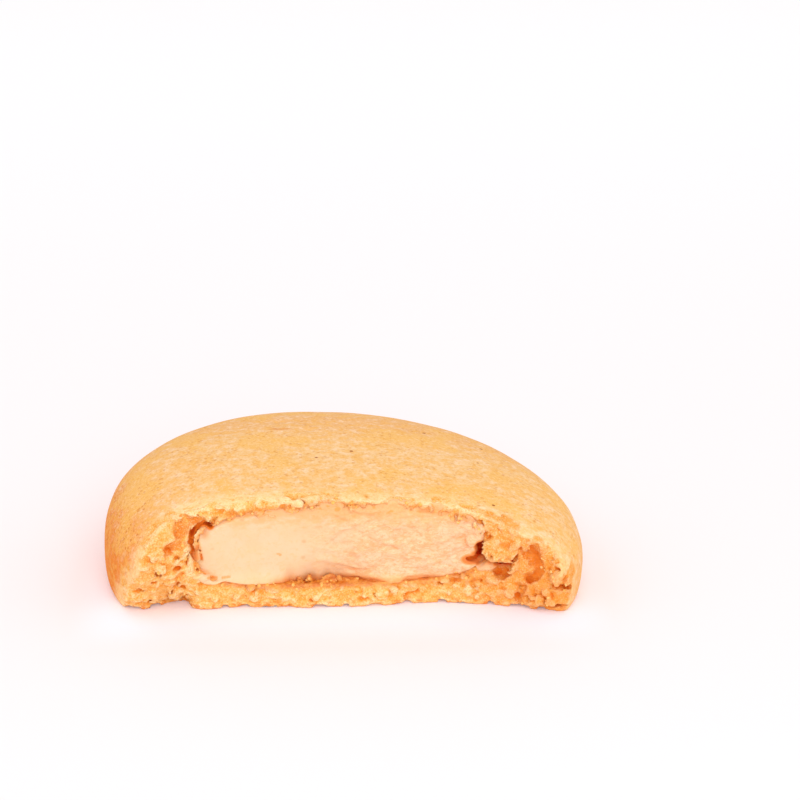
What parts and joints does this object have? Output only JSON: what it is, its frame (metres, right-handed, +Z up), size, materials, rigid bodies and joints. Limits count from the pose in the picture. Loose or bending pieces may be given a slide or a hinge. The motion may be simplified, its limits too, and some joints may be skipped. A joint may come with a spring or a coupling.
{
  "type": "filled pumpkin cookie, broken open",
  "caption": "Domed soft-baked pumpkin cookie broken open across its front, showing a thick slab of cheesecake filling inside a crumbly dough shell.",
  "frame": {"origin": "middle of the bounding box of the flat underside, on the surface the piece rests on", "axes": "+X along the broken face, to the right of someone looking at it; +Y away from them, towards the unbroken back; +Z up"},
  "size_m": [0.0728, 0.0546, 0.0198],
  "materials": {
    "baked_dough": "matt golden-orange baked crust with a fine sandy grain, and paler open crumb where it is broken",
    "cream_filling": "soft cream-coloured set cheese, smooth on the left and torn into wavy streaks on the right"
  },
  "bodies": {
    "root": {"cookie_dough": "baked_dough", "cheesecake_filling": "cream_filling"}
  },
  "joints": []
}
